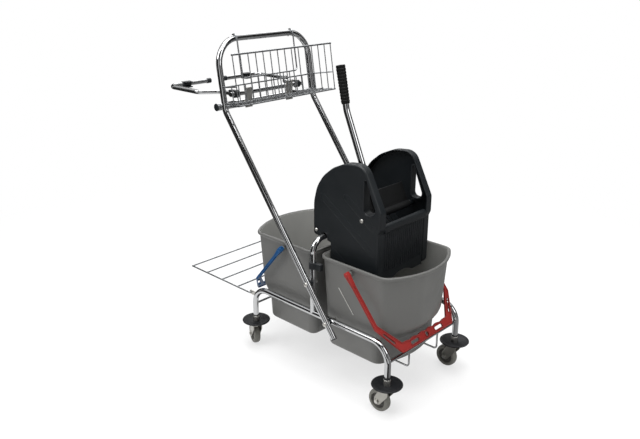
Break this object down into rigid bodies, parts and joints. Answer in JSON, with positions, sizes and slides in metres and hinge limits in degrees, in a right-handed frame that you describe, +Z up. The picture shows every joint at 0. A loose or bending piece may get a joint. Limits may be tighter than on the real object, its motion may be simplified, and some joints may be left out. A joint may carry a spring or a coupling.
{
  "type": "double mop bucket trolley",
  "caption": "Wheeled mop trolley: bent tube frame on swivel castors, plastic buckets with bails, lever wringer, push handle with wire basket, bag arms and a folding wire shelf.",
  "frame": {"origin": "on the floor under the middle of the trolley's overall length and width", "axes": "+X from the bag holder towards the front bucket, +Y to the far side, +Z up"},
  "size_m": [1.0476, 0.4609, 1.085],
  "materials": {
    "chrome": "bright chrome plating on bent tube and wire",
    "zinc": "zinc plated pressings and bolts",
    "black_plastic": "black moulded plastic with a fine grain",
    "grey_plastic": "grey moulded plastic",
    "red_plastic": "red moulded plastic",
    "blue_plastic": "blue moulded plastic",
    "wheel_rubber": "grey non-marking rubber",
    "bumper_rubber": "black rubber",
    "grip_rubber": "black ribbed rubber"
  },
  "bodies": {
    "frame": {"near_side_rail": "chrome", "far_side_rail": "chrome", "front_cross_bar": "chrome", "rear_cross_rod": "chrome", "bucket_support_wires": "chrome", "mid_frame": "chrome", "push_handle": "chrome", "basket_front": "chrome", "basket_bottom": "chrome", "basket_back": "chrome", "basket_sides": "chrome", "basket_hanger": "chrome", "bag_rail": "chrome", "bag_hinge_bar": "chrome", "handle_bolts": "zinc", "castor_stems": "zinc", "bag_rail_bolts": "zinc", "bag_hinge_plates": "zinc", "wringer_axle": "zinc", "wringer_tie_rod": "zinc", "handle_plugs": "black_plastic", "handle_spacers": "black_plastic", "bucket_keepers": "black_plastic", "wringer_near_plate": "black_plastic", "wringer_far_plate": "black_plastic", "wringer_front_wall": "black_plastic", "wringer_drain_plate": "black_plastic", "bag_rail_caps": "black_plastic", "shelf_brackets": "black_plastic", "bumper_discs": "bumper_rubber", "front_bucket": "grey_plastic", "rear_bucket": "grey_plastic"},
    "lever": {"press_jaw": "black_plastic", "lever_tube": "chrome", "lever_grip": "grip_rubber"},
    "front_bail_hoop": {"front_bail": "red_plastic"},
    "rear_bail_hoop": {"rear_bail": "blue_plastic"},
    "shelf": {"shelf_grid": "chrome"},
    "bag_frame_near": {"bag_arm_near": "chrome", "bag_block_near": "black_plastic", "bag_cap_near": "black_plastic", "bag_clip_near": "black_plastic"},
    "bag_frame_far": {"bag_arm_far": "chrome", "bag_block_far": "black_plastic", "bag_cap_far": "black_plastic", "bag_clip_far": "black_plastic"},
    "castor_front_near": {"fork_front_near": "zinc", "axle_front_near": "zinc"},
    "roller_front_near": {"wheel_front_near": "wheel_rubber"},
    "castor_front_far": {"fork_front_far": "zinc", "axle_front_far": "zinc"},
    "roller_front_far": {"wheel_front_far": "wheel_rubber"},
    "castor_rear_near": {"fork_rear_near": "zinc", "axle_rear_near": "zinc"},
    "roller_rear_near": {"wheel_rear_near": "wheel_rubber"},
    "castor_rear_far": {"fork_rear_far": "zinc", "axle_rear_far": "zinc"},
    "roller_rear_far": {"wheel_rear_far": "wheel_rubber"}
  },
  "joints": [
    {"name": "swivel_front_near", "type": "hinge", "parent": "frame", "child": "castor_front_near", "pos_m": [0.47475, -0.1815, 0.09], "axis": [0, 0, 1], "continuous": true},
    {"name": "roll_front_near", "type": "hinge", "parent": "castor_front_near", "child": "roller_front_near", "pos_m": [0.44875, -0.1815, 0.0375], "axis": [0, 1, 0], "continuous": true},
    {"name": "swivel_front_far", "type": "hinge", "parent": "frame", "child": "castor_front_far", "pos_m": [0.47475, 0.1815, 0.09], "axis": [0, 0, 1], "continuous": true},
    {"name": "roll_front_far", "type": "hinge", "parent": "castor_front_far", "child": "roller_front_far", "pos_m": [0.44875, 0.1815, 0.0375], "axis": [0, 1, 0], "continuous": true},
    {"name": "swivel_rear_near", "type": "hinge", "parent": "frame", "child": "castor_rear_near", "pos_m": [-0.12125, -0.1815, 0.09], "axis": [0, 0, 1], "continuous": true},
    {"name": "roll_rear_near", "type": "hinge", "parent": "castor_rear_near", "child": "roller_rear_near", "pos_m": [-0.14481, -0.17051, 0.0375], "axis": [0.4226, 0.9063, 0], "continuous": true},
    {"name": "swivel_rear_far", "type": "hinge", "parent": "frame", "child": "castor_rear_far", "pos_m": [-0.12125, 0.1815, 0.09], "axis": [0, 0, 1], "continuous": true},
    {"name": "roll_rear_far", "type": "hinge", "parent": "castor_rear_far", "child": "roller_rear_far", "pos_m": [-0.14725, 0.1815, 0.0375], "axis": [0, 1, 0], "continuous": true},
    {"name": "front_bail_swing", "type": "hinge", "parent": "frame", "child": "front_bail_hoop", "pos_m": [0.30975, 0, 0.414], "axis": [0, -1, 0], "range_deg": [0, 105]},
    {"name": "rear_bail_swing", "type": "hinge", "parent": "frame", "child": "rear_bail_hoop", "pos_m": [0.01575, 0, 0.414], "axis": [0, 1, 0], "range_deg": [0, 100]},
    {"name": "lever_press", "type": "hinge", "parent": "frame", "child": "lever", "pos_m": [0.31675, 0, 0.576], "axis": [0, -1, 0], "range_deg": [0, 48], "stiffness_Nm_per_rad": 2.5, "springref_deg": -34.38},
    {"name": "shelf_fold", "type": "hinge", "parent": "frame", "child": "shelf", "pos_m": [-0.14125, 0, 0.205], "axis": [0, 1, 0], "range_deg": [0, 70]},
    {"name": "bag_fold_near", "type": "hinge", "parent": "frame", "child": "bag_frame_near", "pos_m": [-0.23129, -0.141, 0.891], "axis": [0, 1, 0], "range_deg": [0, 70]},
    {"name": "bag_fold_far", "type": "hinge", "parent": "frame", "child": "bag_frame_far", "pos_m": [-0.23129, 0.141, 0.891], "axis": [0, 1, 0], "range_deg": [0, 70]}
  ]
}
